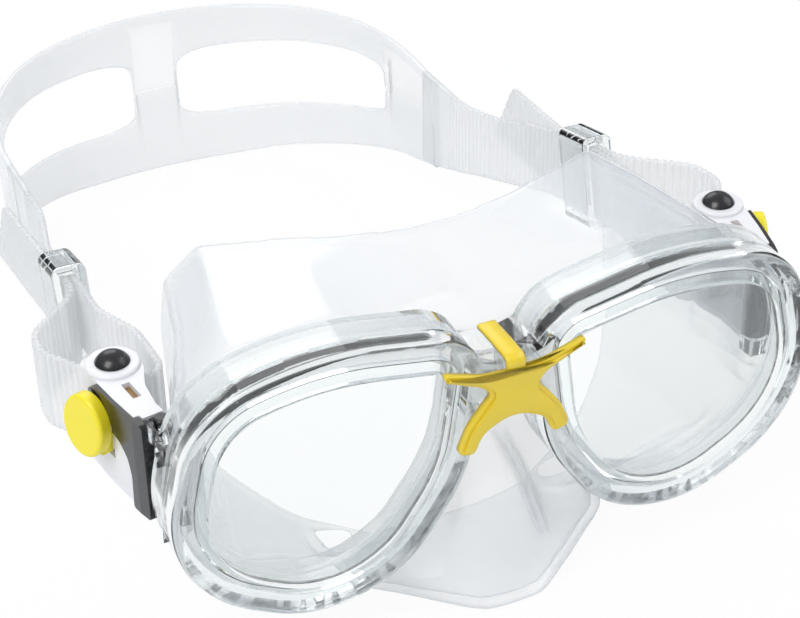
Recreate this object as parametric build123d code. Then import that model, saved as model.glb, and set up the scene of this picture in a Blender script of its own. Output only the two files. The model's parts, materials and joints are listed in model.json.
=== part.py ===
from build123d import *
import math
import os

# Two-lens snorkel mask with a silicone skirt, a split head strap and two swivel buckles.
# The mask front is drawn in a mask frame: x across the face (+x is the wearer's left),
# y from the lenses back towards the face, z up along the lenses. It then leans forward by
# LEAN, as it does when it stands on its nose pocket and on the lower edge of its strap.
# The head strap stands upright on the floor. Sizes are in mm and degrees.

LEAN = 3.9
NOSE_DROP = 53.5

# Clear frame: the mid-line of each eye rim as a rounded polygon of (x, z), corner radius.
EYE_CORNERS = [(9.2, 21.4), (44.6, 27.9), (70.4, 21.6), (79.8, -18.3), (35.9, -43.2), (13.3, -9.6)]
EYE_RADII = [9.5, 67.6, 19.2, 29.2, 25.8, 38.8]
RIM_HALF_WIDTH = 4.0
BEZEL_FRONT = -31.5
BEZEL_DEPTH = 5.7
BEZEL_ROUND = 2.2
REAR_FRAME_DEPTH = 8.3
REAR_WALL = 2.4
FIT_GAP = 0.3
FACE_GAP = 0.1

# Lenses
LENS_THICKNESS = 3.5
LENS_LAP = 2.5

# Bridge between the rims, and the moulded clip over it
BRIDGE_TOP = 17.0
BRIDGE_BOTTOM = 3.6
BRIDGE_HALF_WIDTH = 13.0
CLIP_THICKNESS = 2.4
CLIP_HOOK_WIDTH = 7.0

# Silicone skirt
SKIRT_WALL = 2.0
FLANGE_THICKNESS = 2.0
FLANGE_REACH = 1.2
NECK_REACH = 0.5
FACE_RIM_TOP = 12.0
FACE_ARC_RADIUS = 82.0
FACE_SLOPE = 8.0

# Buckles: the hinge pin stands on an ear of the rear frame, the strap roller behind it
PIN_X = 74.5
PIN_Y = -13.5
PIN_RADIUS = 1.5
RUNNING_GAP = 0.05
EAR_RADIUS = 3.2
EAR_TOP = 12.4
EAR_THICKNESS = 4.2
PIN_HEAD = 1.4
BUCKLE_TURN = 8.5
ROLLER_BACK = 23.5
ROLLER_RADIUS = 2.2
AXLE_RADIUS = 1.0
DOME_RADIUS = 4.0
DOME_HEIGHT = 2.4
BOSS_RADIUS = 6.2
CHEEK_TOP = 10.6
CHEEK_THICKNESS = 2.7
TONGUE_THICKNESS = 0.7
WALL_INNER = 4.85
WALL_THICKNESS = 1.0
ARM_THICKNESS = 0.9
BUTTON_U = 18.9
BUTTON_V = 8.3
BUTTON_Z = 3.9
BUTTON_TURN = 14.8
BUTTON_TILT = 6.2
BUTTON_LENGTH = 13.0
BUTTON_HEIGHT = 15.4
BUTTON_CAP = 3.1
BUTTON_STROKE = 0.8
PAWL_U = 18.6
PAWL_V = 3.85
PAWL_PIN_RADIUS = 0.7
PAWL_HEIGHT = 7.6
SPRING_RADIUS = 1.4
SPRING_WIRE = 0.35
SPRING_TURNS = 3

# Head strap
STRAP_THICKNESS = 2.0
STRAP_WIDTH = 20.6
BAND_THICKNESS = 2.4
BAND_RADIUS = 65.5
BAND_CENTRE_Y = 161.5
BAND_END_Y = 148.0
BAND_TOP = 55.7
WINDOW_START = 6.5
WINDOW_END = 74.0
KEEPER_Y = 66.0
KEEPER_LENGTH = 14.0
KEEPER_WALL = 1.9
KEEPER_TRAVEL = 9.0
STRAP_DROP = 6.7
KEEPER_DROP = 13.8

BEZEL_BACK = BEZEL_FRONT + BEZEL_DEPTH
LENS_FRONT = BEZEL_FRONT + BEZEL_ROUND + 0.7
LENS_BACK = LENS_FRONT + LENS_THICKNESS
FLANGE_FRONT = LENS_BACK + FACE_GAP
FLANGE_BACK = FLANGE_FRONT + FLANGE_THICKNESS
CLAMP_FRONT = FLANGE_BACK + FACE_GAP
REAR_BACK = BEZEL_BACK + REAR_FRAME_DEPTH
SKIRT_FRONT = REAR_BACK + FIT_GAP
MASK_PLACE = Location((0, 0, NOSE_DROP)) * Location((0, 0, 0), (LEAN, 0, 0))


def outline(points, radii, grow=0.0):
    """A closed rounded polygon as a face, grown outwards by grow."""
    face = make_face(FilletPolyline(*points, radius=radii, close=True))
    return offset(face, amount=grow) if grow else face


def eyes(grow):
    """Both eye outlines, grown from the mid-line of the rims."""
    right = outline(EYE_CORNERS, EYE_RADII, grow)
    return right, mirror(right, about=Plane.YZ)


def slab(face, front, back):
    """A face drawn on x and z, as a plate from y = front to y = back."""
    return extrude(Plane.XZ.offset(-back) * face, amount=back - front)


def both(solids, front, back):
    """The two plates of a pair of outlines."""
    return [slab(face, front, back) for face in solids]


def cut(solid, tools):
    """solid less each of the tools."""
    for tool in tools:
        solid = solid - tool
    return solid


def bridge_face(grow=0.0):
    """The web between the two rims, with a dip above and an arch below."""
    half = BRIDGE_HALF_WIDTH
    top_left = (-half, BRIDGE_TOP + 5.5 + grow)
    top_right = (half, BRIDGE_TOP + 5.5 + grow)
    low_left = (-half + 2.0, BRIDGE_BOTTOM - 7.0 - grow)
    low_right = (half - 2.0, BRIDGE_BOTTOM - 7.0 - grow)
    top = ThreePointArc(top_left, (0, BRIDGE_TOP + grow), top_right)
    arch = ThreePointArc(low_right, (0, BRIDGE_BOTTOM - grow), low_left)
    return make_face([top, Line(top_right, low_right), arch, Line(low_left, top_left)])


def frame_plate(front, back):
    """Rims and bridge as one plate, before the eye openings are cut."""
    right, left = both(eyes(RIM_HALF_WIDTH), front, back)
    return right + left + slab(bridge_face(), front, back)


def make_front_frame():
    """The clear bezel: rounded in front, with a lip over each lens."""
    body = frame_plate(BEZEL_FRONT, BEZEL_BACK)
    front_edges = body.faces().sort_by(Axis.Y)[0].edges()
    body = fillet(front_edges, BEZEL_ROUND)
    body = cut(body, both(eyes(-RIM_HALF_WIDTH), BEZEL_FRONT - 1, BEZEL_BACK + 1))
    seat = LENS_LAP - RIM_HALF_WIDTH + FIT_GAP
    return cut(body, both(eyes(seat), LENS_FRONT - FACE_GAP, BEZEL_BACK + 1))


def make_lens(side):
    """One flat toughened lens."""
    face = eyes(LENS_LAP - RIM_HALF_WIDTH)[0 if side > 0 else 1]
    lens = slab(face, LENS_FRONT, LENS_BACK)
    return chamfer(lens.faces().sort_by(Axis.Y)[-1].edges(), 0.3)


def buckle_point(u, v, z=0.0, side=1):
    """A point given along the buckle (u), outwards from it (v) and up, in the mask frame."""
    turn = math.radians(BUCKLE_TURN)
    x = PIN_X + u * math.sin(turn) + v * math.cos(turn)
    y = PIN_Y + u * math.cos(turn) - v * math.sin(turn)
    return (side * x, y, z)


BUCKLE_PLACE = Location((PIN_X, PIN_Y, 0)) * Location((0, 0, 0), (0, 0, 90 - BUCKLE_TURN))


def in_buckle(shape):
    """Moves a shape drawn with x along the buckle and y towards the face to its place."""
    return shape.moved(BUCKLE_PLACE)


def flat(points, radii, low, high):
    """A rounded polygon of (u, v) as a plate from z = low to z = high."""
    turned = [(u, -v) for u, v in points]
    face = make_face(FilletPolyline(*turned, radius=radii, close=True))
    return extrude(Plane.XY.offset(low) * face, amount=high - low)


def post(u, v, radius, low, high):
    """An upright round post in the buckle."""
    return extrude(Plane((u, -v, low)) * Circle(radius), amount=high - low)


def make_rear_frame():
    """The clear rear frame: it clamps the skirt to the lenses and carries both buckle ears."""
    body = frame_plate(BEZEL_BACK, REAR_BACK)
    cavity = RIM_HALF_WIDTH - REAR_WALL
    body = cut(body, both(eyes(cavity), BEZEL_BACK - 1, CLAMP_FRONT))
    body = cut(body, both(eyes(NECK_REACH + FIT_GAP), BEZEL_BACK, REAR_BACK + 1))
    ears = []
    for low, high in ((EAR_TOP - EAR_THICKNESS, EAR_TOP), (-EAR_TOP, EAR_THICKNESS - EAR_TOP)):
        ring = Circle(EAR_RADIUS)
        # The lug narrows beside the pin, so that the arm's front edge can swing past it.
        arm = Polygon((-EAR_RADIUS, 0), (-2.2, -9.5), (4.9, -9.5), (2.2, -2.6), (0, 0), align=None)
        lug = Plane((PIN_X, PIN_Y, low)) * (ring + arm)
        lug = extrude(lug, amount=high - low)
        lug -= extrude(Plane((PIN_X, PIN_Y, low)) * Circle(PIN_RADIUS + RUNNING_GAP), amount=high - low)
        ears.append(lug)
    for lug in ears:
        lug -= both(eyes(RIM_HALF_WIDTH - 1.0), BEZEL_BACK - 9, REAR_BACK)[0]
        lug -= both(eyes(NECK_REACH + FIT_GAP), BEZEL_BACK - 9, REAR_BACK + FIT_GAP)[0]
        body = body + lug + mirror(lug, about=Plane.YZ)
    return body


def clip_face(grow=0.0):
    """The X-shaped face of the bridge clip."""
    right = [
        (0, 15.6), (7.5, 16.0), (17.6, 19.4), (16.6, 17.0), (8.0, 13.2), (5.6, 10.6),
        (8.2, 7.6), (11.6, 3.0), (14.2, -3.6), (9.8, -4.6), (7.6, 0.6), (0, 4.2),
    ]
    left = [(-x, z) for x, z in right[-2:0:-1]]
    radii = [30, 12, 0.8, 0.8, 6, 1.6, 6, 9, 1.6, 1.6, 6, 12]
    radii = radii + radii[-2:0:-1]
    return outline(right + left, radii, grow)


def make_bridge_clip():
    """The coloured clip: an X on the front of the bridge and a hook over its top edge."""
    back = BEZEL_FRONT - FACE_GAP
    body = slab(clip_face(), back - CLIP_THICKNESS, back)
    body = fillet(body.faces().sort_by(Axis.Y)[0].edges(), 0.5)
    half = CLIP_HOOK_WIDTH / 2
    top = BRIDGE_TOP + FIT_GAP + half**2 / 30
    strap = Pos(0, (back - CLIP_THICKNESS + 0.6 + REAR_BACK) / 2, top + 0.9) * Box(
        CLIP_HOOK_WIDTH, REAR_BACK - back + CLIP_THICKNESS - 0.6, 1.8
    )
    rise = Pos(0, back - CLIP_THICKNESS / 2, (14.0 + top + 1.8) / 2) * Box(
        2 * half, CLIP_THICKNESS - 1.2, top + 1.8 - 14.0
    )
    return body + strap + rise


def inset(points, distance):
    """Moves each side of a closed polygon inwards by distance."""
    area = 0.0
    count = len(points)
    for i in range(count):
        (x0, z0), (x1, z1) = points[i], points[(i + 1) % count]
        area += x0 * z1 - x1 * z0
    turn = 1 if area > 0 else -1
    moved = []
    for i in range(count):
        before, here, after = points[i - 1], points[i], points[(i + 1) % count]
        a = Vector(here[0] - before[0], here[1] - before[1]).normalized()
        b = Vector(after[0] - here[0], after[1] - here[1]).normalized()
        na, nb = Vector(-a.Y, a.X) * turn, Vector(-b.Y, b.X) * turn
        mid = (na + nb).normalized()
        reach = distance / max(0.5, mid.dot(na))
        moved.append((here[0] + mid.X * reach, here[1] + mid.Y * reach))
    return moved


def closed(right):
    """A closed polygon from its right half, listed from the top centre to the bottom centre."""
    return right + [(-x, z) for x, z in right[-2:0:-1]]


# The skirt's body, as sections (y, right half of the outline).
SKIRT_SECTIONS = [
    (0.0, [(0, 15.5), (14, 21), (34, 29), (58, 28), (73, 19), (76.5, 4), (75, -15), (62, -32),
           (40, -38), (22, -40), (14, -34), (0, -30)]),
    (9.0, [(0, 21.5), (14, 24.5), (34, 29.5), (58, 28), (69, 19), (72, 4), (71, -16), (60, -34),
           (38, -45), (24, -49.5), (13, -51), (0, -51)]),
    (29.0, [(0, 29.0), (14, 29.4), (34, 30), (54, 28), (63, 18), (65, 4), (65, -14), (56, -33),
            (38, -45), (24, -50), (12, -51.5), (0, -51.5)]),
    (60.0, [(0, 30.0), (14, 30), (33, 29.5), (48, 26), (56, 16), (57.5, 4), (57, -12), (49, -31),
            (36, -43), (24, -48), (12, -50), (0, -50)]),
]


# The nose pocket with the lobes beside it, as level sections (z, right half seen from above).
NOSE_SECTIONS = [
    (-9.5, [(0, -18.6), (2.5, -18.3), (4.0, -17.0), (4.6, -14.0), (5.0, -10.0), (5.0, 2.0), (0, 2.0)]),
    (-24.0, [(0, -29.4), (5.0, -29.0), (8.6, -25.0), (10.5, -17.0), (11.5, -10.0), (12.0, 2.0), (0, 2.0)]),
    (-38.0, [(0, -33.0), (6.5, -32.6), (11.8, -29.0), (15.0, -20.0), (24.0, -10.0), (26.0, 2.0), (0, 2.0)]),
    (-43.0, [(0, -34.4), (7.5, -34.0), (13.0, -31.0), (19.0, -27.0), (34.0, -14.0), (38.0, 2.0), (0, 2.0)]),
    (-48.0, [(0, -37.0), (8.0, -36.6), (13.0, -33.0), (20.0, -28.0), (34.0, -17.0), (38.0, 2.0), (0, 2.0)]),
    (-51.2, [(0, -35.6), (6.5, -35.2), (11.0, -32.0), (15.0, -27.0), (20.0, -16.0), (22.0, 2.0), (0, 2.0)]),
]


def skirt_loft(wall):
    """The body of the skirt, shrunk inwards by wall."""
    faces = []
    for depth, half in SKIRT_SECTIONS:
        y = SKIRT_FRONT + depth + (wall if depth == 0 else 0)
        points = closed(half)
        if wall:
            points = inset(points, wall)
        faces.append(Plane.XZ.offset(-y) * make_face(Polyline(*points, close=True)))
    return loft(faces, ruled=True)


def nose_loft(wall):
    """The nose pocket, shrunk inwards by wall and open towards the face."""
    faces = []
    for z, half in NOSE_SECTIONS:
        points = half[:-1] + [(-x, y) for x, y in half[-2:0:-1]]
        level = z
        if wall:
            points = inset(points, wall)
            points = [(x, y + (2 * wall if y > -2 else 0)) for x, y in points]
            level = z - wall if z > -12 else (z + wall if z < -50 else z)
        faces.append(Plane.XY.offset(level) * make_face(Polyline(*points, close=True)))
    return loft(faces, ruled=True)


def hinge_recess(wall):
    """The hollows that leave the buckles' knuckles free, grown by wall."""
    inner = PIN_X - EAR_RADIUS - 4 * FIT_GAP - wall
    front, back = REAR_BACK - wall, PIN_Y + 16.5 + wall
    face = Polyline((inner, front), (inner, PIN_Y + 6), (inner - 3.4, back), (90, back), (90, front), close=True)
    half = CHEEK_TOP + CHEEK_THICKNESS + PIN_HEAD + 0.8 + wall
    block = extrude(Plane.XY.offset(-half) * make_face(face), amount=2 * half)
    return block + mirror(block, about=Plane.YZ)


def make_skirt():
    """The silicone skirt: flanges behind the lenses, chamber, nose pocket and face opening."""
    body = skirt_loft(0) + nose_loft(0) - hinge_recess(0)
    body = body - (skirt_loft(SKIRT_WALL) + nose_loft(SKIRT_WALL) - hinge_recess(SKIRT_WALL))
    rise = FACE_ARC_RADIUS - math.sqrt(FACE_ARC_RADIUS**2 - 70.0**2)
    arc = ThreePointArc((-70, FACE_RIM_TOP + rise), (0, FACE_RIM_TOP), (70, FACE_RIM_TOP + rise))
    edge = Polyline((70, FACE_RIM_TOP + rise), (90, 140), (-90, 140), (-70, FACE_RIM_TOP + rise))
    face = extrude(Plane.XY.offset(-120) * make_face([arc, edge]), amount=240)
    lift = Location((0, 0, 30)) * Location((0, 0, 0), (-FACE_SLOPE, 0, 0))
    body = body - face.moved(lift)
    for flange in both(eyes(FLANGE_REACH), FLANGE_FRONT, FLANGE_BACK):
        body = body + flange
    for neck in both(eyes(NECK_REACH), FLANGE_BACK, SKIRT_FRONT + SKIRT_WALL):
        body = body + neck
    body = cut(body, both(eyes(-RIM_HALF_WIDTH), FLANGE_FRONT - 1, FLANGE_BACK))
    back = SKIRT_FRONT + SKIRT_WALL + 0.5
    body = cut(body, both(eyes(NECK_REACH - SKIRT_WALL), FLANGE_BACK, back)) - hinge_recess(0)
    step = both(eyes(NECK_REACH), REAR_BACK - SKIRT_WALL, back)
    return body + ((step[0] + step[1]) & hinge_recess(SKIRT_WALL)) - hinge_recess(0)


def make_hinge_pin():
    """The steel pin of the swivel, with a head above the upper ear."""
    shank = post(0, 0, PIN_RADIUS, -EAR_TOP - 0.8, EAR_TOP + 0.1)
    head = post(0, 0, PIN_RADIUS + 0.4, EAR_TOP + 0.1, EAR_TOP + PIN_HEAD)
    head = fillet(head.faces().sort_by(Axis.Z)[-1].edges(), 0.6)
    return in_buckle(shank + head)


KNUCKLE_HALF = EAR_TOP - EAR_THICKNESS - FIT_GAP
PLATE_OUTER = WALL_INNER + WALL_THICKNESS
CHEEK_HIGH = CHEEK_TOP + CHEEK_THICKNESS
BODY_LOW = -CHEEK_TOP - CHEEK_THICKNESS + 0.8
BODY_FRONT = EAR_RADIUS + 0.5
OPENING_LOW, OPENING_HIGH = 14.2, 23.6
WALL_LINE = [(BODY_FRONT, 1.0), (12.0, 0.3), (19.0, 0.0), (28.0, 0.0)]
BUTTON_AXIS = Vector(0, -1, 0).rotate(Axis.Z, -BUTTON_TURN).rotate(Axis.X, -BUTTON_TILT)
BUTTON_PLANE = Plane(
    (BUTTON_U, -BUTTON_V, BUTTON_Z), x_dir=Vector(0, 0, 1).cross(BUTTON_AXIS), z_dir=BUTTON_AXIS
)
SPRING_SPOT = (0.9, 4.0)
SPRING_SEAT = -2.0


def wall_points(v):
    """The line of the buckle's outer wall in plan, at v where it is straight."""
    return [(u, v - drop) for u, drop in WALL_LINE]


def button_room(depth, grow):
    """The space the button's cap sweeps, from depth below its seat outwards."""
    ring = Ellipse(BUTTON_LENGTH / 2 + grow, BUTTON_HEIGHT / 2 + grow)
    return extrude(BUTTON_PLANE.offset(-depth) * ring, amount=20)


def button_post(radius, low, high):
    """A round post along the button's axis, at the spring."""
    return extrude(BUTTON_PLANE.offset(low) * (Pos(*SPRING_SPOT) * Circle(radius)), amount=high - low)


def make_buckle_body():
    """The white buckle body: two cheeks round the roller and the outer wall that joins them."""
    body = flat(wall_points(WALL_INNER) + wall_points(PLATE_OUTER)[::-1], 0.2, BODY_LOW, CHEEK_HIGH)
    edge = PLATE_OUTER - 0.5
    cheek = [(BODY_FRONT + 0.5, -1.2), (BODY_FRONT + 0.5, edge - 1.1), (12.0, edge - 0.4), (19.0, edge), (27.0, edge),
             (30.2, -1.8), (26.6, -6.2), (19.6, -5.6), (13.0, -2.6)]
    radii = [0.5, 0.5, 8, 8, 2.5, 5, 4, 6, 8]
    top = flat(cheek, radii, CHEEK_TOP, CHEEK_HIGH)
    bottom = flat(cheek, radii, BODY_LOW, -CHEEK_TOP - 0.2)
    boss = post(ROLLER_BACK, 0, BOSS_RADIUS, CHEEK_HIGH, CHEEK_HIGH + 0.9)
    boss = fillet(boss.faces().sort_by(Axis.Z)[-1].edges(), 0.6)
    nose = flat([(BODY_FRONT + 0.2, 1.4), (BODY_FRONT + 0.2, 4.5), (9.4, 5.0), (9.4, 1.8)], 0.3, BODY_LOW, CHEEK_HIGH)
    tongue = flat([(2.3, -1.6), (2.3, 3.4), (3.6, 3.5), (4.4, 4.7), (6.0, 4.8), (6.0, -1.4)], 0.3,
                  CHEEK_HIGH - TONGUE_THICKNESS, CHEEK_HIGH)
    body = body + top + bottom + boss + nose + tongue
    bore = post(ROLLER_BACK, 0, AXLE_RADIUS + RUNNING_GAP, -CHEEK_HIGH - 1, CHEEK_HIGH + 2)
    window = Pos(12.7, -0.85, CHEEK_HIGH) * Box(6.0, 2.0, 3.4)
    length = OPENING_HIGH - OPENING_LOW
    middle = (OPENING_HIGH + OPENING_LOW) / 2
    opening = Pos(middle, -WALL_INNER, 0) * Box(length, 8.0, PAWL_HEIGHT + 1.6)
    pawl_bore = post(PAWL_U, PAWL_V, PAWL_PIN_RADIUS + 0.03, -CHEEK_TOP - 1.2, CHEEK_TOP + 1.0)
    room = button_room(BUTTON_STROKE + FIT_GAP, 0.4)
    return in_buckle(cut(body, [bore, window, opening, pawl_bore, room]))


def make_buckle_arm():
    """The black arm: the hinge knuckle and the angled cover on the buckle's outer wall."""
    knuckle = post(0, 0, EAR_RADIUS, -KNUCKLE_HALF, KNUCKLE_HALF)
    web = flat([(-0.6, -0.6), (-0.6, 4.6), (3.4, 4.9), (3.4, -0.6)], 0.2, -KNUCKLE_HALF, KNUCKLE_HALF)
    skin_in = PLATE_OUTER + FACE_GAP
    skin_out = skin_in + ARM_THICKNESS
    front = EAR_RADIUS + 2 * FIT_GAP
    cover = [(-0.6, front), (-0.6, 5.2), (3.0, skin_out - 1.05), (12.0, skin_out - 0.3), (19.0, skin_out),
             (24.0, skin_out), (24.0, skin_in), (19.0, skin_in), (12.0, skin_in - 0.3),
             (3.4, skin_in - 1.0), (3.4, front)]
    skin = flat(cover, 0.12, BODY_LOW, CHEEK_HIGH)
    side = [(-0.7, 13.2), (-0.7, -12.4), (5.8, -12.4), (5.3, -3.5), (6.4, 0.8), (9.4, 3.8), (14.0, 5.0),
            (22.6, 5.0), (22.6, 10.4), (19.2, 13.2)]
    radii = [1.2, 0.8, 0.8, 8, 5, 6, 5, 1.2, 1.2, 1.0]
    shape = extrude(Plane.XZ.offset(-20) * outline(side, radii), amount=40)
    body = knuckle + web + (skin & shape)
    room = button_room(BUTTON_STROKE + FIT_GAP, 0.4)
    seat = button_post(SPRING_RADIUS + 0.7, SPRING_SEAT, 0)
    return in_buckle(cut(body, [post(0, 0, PIN_RADIUS + RUNNING_GAP, -20, 20), room, seat]))


def make_strap_roller():
    """The roller that the strap runs round."""
    half = CHEEK_TOP - 0.3
    tube = post(ROLLER_BACK, 0, ROLLER_RADIUS, -half, half)
    return in_buckle(tube - post(ROLLER_BACK, 0, AXLE_RADIUS + RUNNING_GAP, -half, half))


def make_roller_axle():
    """The roller's axle, with a domed black head above the cheek."""
    seat = CHEEK_HIGH + 1.0 + FACE_GAP
    shank = post(ROLLER_BACK, 0, AXLE_RADIUS, -CHEEK_HIGH + 0.6, seat + 0.5)
    ball = (DOME_RADIUS**2 + DOME_HEIGHT**2) / (2 * DOME_HEIGHT)
    dome = Pos(ROLLER_BACK, 0, seat + DOME_HEIGHT - ball) * Sphere(ball)
    dome = dome & post(ROLLER_BACK, 0, DOME_RADIUS + 1, seat, seat + DOME_HEIGHT + 1)
    return in_buckle(shank + dome)


def make_release_button():
    """The oval push button, with a foot that reaches the pawl through the wall."""
    cap = extrude(BUTTON_PLANE * Ellipse(BUTTON_LENGTH / 2, BUTTON_HEIGHT / 2), amount=BUTTON_CAP)
    rim = cap.faces().filter_by(GeomType.PLANE).sort_by(Axis.Y)[0].edges()
    cap = fillet(rim, 1.0)
    foot = BUTTON_PLANE.offset(-2.15) * (Pos(-3.76, -3.9) * Rectangle(1.4, 5.0))
    foot = extrude(foot, amount=3.0)
    pocket = button_post(SPRING_RADIUS + 0.7, -1, 1.0)
    return in_buckle(cap + foot - pocket)


def make_button_spring():
    """The small coil spring under the button."""
    start = SPRING_SEAT + SPRING_WIRE + 0.1
    end = 1.0 - SPRING_WIRE - 0.1
    path = Helix(pitch=(end - start) / SPRING_TURNS, height=end - start, radius=SPRING_RADIUS)
    wire = sweep(Plane(path @ 0, z_dir=path % 0) * Circle(SPRING_WIRE), path=path)
    place = BUTTON_PLANE.offset(start).location * Location((SPRING_SPOT[0], SPRING_SPOT[1], 0))
    return in_buckle(wire.moved(place))


def make_ratchet_pawl():
    """The pawl that holds the strap's ribs, rocked by the button's foot."""
    half = PAWL_HEIGHT / 2
    hub = post(PAWL_U, PAWL_V, 1.35, -half, half)
    tooth = flat([(PAWL_U, PAWL_V + 1.3), (PAWL_U, PAWL_V + 0.3), (PAWL_U + 2.2, PAWL_V + 0.85),
                  (PAWL_U + 3.8, PAWL_V + 0.95), (PAWL_U + 3.6, PAWL_V + 1.75)], 0.1, -half, half)
    lever = flat([(PAWL_U, PAWL_V - 0.5), (PAWL_U, PAWL_V + 1.0), (PAWL_U - 3.4, PAWL_V + 0.9),
                  (PAWL_U - 3.4, PAWL_V - 0.1)], 0.1, -half, half)
    bore = post(PAWL_U, PAWL_V, PAWL_PIN_RADIUS + RUNNING_GAP, -half, half)
    return in_buckle(hub + tooth + lever - bore)


def make_pawl_pin():
    """The pawl's pin, held at both ends in the cheeks."""
    return in_buckle(post(PAWL_U, PAWL_V, PAWL_PIN_RADIUS, -CHEEK_TOP - 1.0, CHEEK_TOP + 0.8))


def strap_line(y):
    """The height of the strap's middle at y: level round the roller, then falling."""
    front = KEEPER_Y - KEEPER_LENGTH / 2 - 2
    first = max(0.0, min(y, front) - 14) * math.tan(math.radians(STRAP_DROP))
    return -first - max(0.0, y - front) * math.tan(math.radians(KEEPER_DROP))


def ribbon(points, radii, thickness):
    """A tall upright strip along a rounded path in plan."""
    path = FilletPolyline(*points, radius=radii)
    side = path % 0
    section = Plane(path @ 0, x_dir=(-side.Y, side.X, 0), z_dir=side) * Rectangle(thickness, 300)
    return sweep(section, path=path)


def profile(points):
    """A side view of (y, z) as a block across the whole mask."""
    return extrude(Plane.YZ.offset(-100) * make_face(Polyline(*points, close=True)), amount=200)


LAYER = STRAP_THICKNESS + FIT_GAP
INNER_X = 72.15
OUTER_X = INNER_X + LAYER


def make_strap_tail():
    """The ribbed end of the strap: in round the roller, back out and through the keeper."""
    wrap = ROLLER_RADIUS + FIT_GAP + STRAP_THICKNESS / 2
    front_in = buckle_point(ROLLER_BACK - wrap, -10.4)[:2]
    front_out = buckle_point(ROLLER_BACK - wrap, wrap)[:2]
    leave = buckle_point(ROLLER_BACK + 5.6, wrap)[:2]
    keeper_front = KEEPER_Y - KEEPER_LENGTH / 2 - 2
    keeper_back = KEEPER_Y + KEEPER_LENGTH / 2 + KEEPER_TRAVEL + 1
    path = [
        (65.3, 165), (65.3, 122), (INNER_X, keeper_back + 5.5), (INNER_X, keeper_front), (72.4, 42),
        (67.4, 27), front_in, front_out, leave, (89.4, 28), (88.9, 38),
        (OUTER_X, keeper_front - 3.5), (OUTER_X, keeper_back),
    ]
    radii = [60, 60, 30, 16, 16, 4.6, wrap, 10, 9, 10, 14]
    loop = ribbon(path, radii, STRAP_THICKNESS)
    half = STRAP_WIDTH / 2
    bend, line = strap_line(keeper_front), strap_line(keeper_back)
    shape = profile([
        (-20, half), (14, half), (keeper_front, bend + half), (keeper_back, line + half), (110, -9.6),
        (130, -13.3), (160, -14.9), (160, -47.6), (147, -44.3), (118, -32.7), (99, -27.2),
        (keeper_back, line - half), (keeper_front, bend - half), (14, -half), (-20, -half),
    ])
    end_path = [(OUTER_X, keeper_back), (OUTER_X, keeper_back + 4), (OUTER_X + 2.3, 124)]
    end = ribbon(end_path, [60], STRAP_THICKNESS)
    end_shape = profile([
        (keeper_back, line + half), (92, -2.4), (116, -4.5), (128, -25.8), (99, -23.4),
        (keeper_back, line - half),
    ])
    return (loop & shape) + (end & end_shape)


def make_strap_keeper():
    """The clear loop that holds both layers of the strap together."""
    inside_x = LAYER + STRAP_THICKNESS + 2 * 0.35
    inside_z = STRAP_WIDTH + 2 * 0.5
    outer = Box(inside_x + 2 * KEEPER_WALL, KEEPER_LENGTH, inside_z + 2 * KEEPER_WALL + 0.8)
    outer = fillet(outer.edges().filter_by(Axis.Y), 2.2)
    outer = fillet(outer.edges().filter_by(GeomType.LINE, reverse=True), 0.4)
    hole = Box(inside_x, KEEPER_LENGTH + 2, inside_z)
    place = Location((INNER_X + LAYER / 2, KEEPER_Y, strap_line(KEEPER_Y)))
    place = place * Location((0, 0, 0), (-KEEPER_DROP, 0, 0))
    return (outer - hole).moved(place)


# The strap's window: (share of the way round from the start to the end, height) of its edge.
WINDOW_EDGE = [
    (0.02, 38.4), (0.26, 42.0), (0.55, 43.5), (0.82, 43.2), (0.97, 40.4), (1.0, 34.0),
    (0.96, 27.4), (0.72, 22.6), (0.42, 20.4), (0.16, 18.2), (0.02, 20.6), (0.0, 29.0),
]


def band_window():
    """The left window, cut straight out from the axis of the band."""
    middle = math.radians((WINDOW_START + WINDOW_END) / 2)
    out = Vector(math.sin(middle), math.cos(middle), 0)
    faces = []
    for reach in (BAND_RADIUS * 0.7, BAND_RADIUS * 1.2):
        points = []
        for share, z in WINDOW_EDGE:
            angle = math.radians(WINDOW_START + share * (WINDOW_END - WINDOW_START)) - middle
            points.append((reach * math.tan(angle), z))
        centre = Vector(0, BAND_CENTRE_Y, 0) + out * reach
        plane = Plane(centre, x_dir=(out.Y, -out.X, 0), z_dir=Vector(out.Y, -out.X, 0).cross(Vector(0, 0, 1)))
        faces.append(plane * make_face(Spline(*points, periodic=True)))
    return loft(faces, ruled=True)


def make_head_strap():
    """The broad back of the strap: a split band that stands on its lower edge."""
    side = BAND_RADIUS
    straight = Line((side, BAND_END_Y), (side, BAND_CENTRE_Y))
    turn = ThreePointArc((side, BAND_CENTRE_Y), (0, BAND_CENTRE_Y + side), (-side, BAND_CENTRE_Y))
    other = Line((-side, BAND_CENTRE_Y), (-side, BAND_END_Y))
    path = Wire([straight, turn, other])
    section = Plane((side, BAND_END_Y, 50), x_dir=(1, 0, 0), z_dir=(0, 1, 0)) * Rectangle(BAND_THICKNESS, 160)
    band = sweep(section, path=path)
    back = BAND_CENTRE_Y + side
    top = [(BAND_END_Y - 1, 48.9), (170, 51.2), (190, 54.4), (207, BAND_TOP), (back + 8, BAND_TOP)]
    low = [(back + 8, 0), (225, 0), (215, 5.0), (198, 8.9), (178, 13.2), (160, 16.6), (BAND_END_Y - 1, 19.6)]
    band = band & profile(top + low)
    window = band_window()
    return cut(band, [window, mirror(window, about=Plane.YZ)])


def one(shape):
    """A node's shape as its single solid, or a compound of its solids."""
    solids = shape.solids()
    return solids[0] if len(solids) == 1 else Compound(children=solids)


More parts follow.
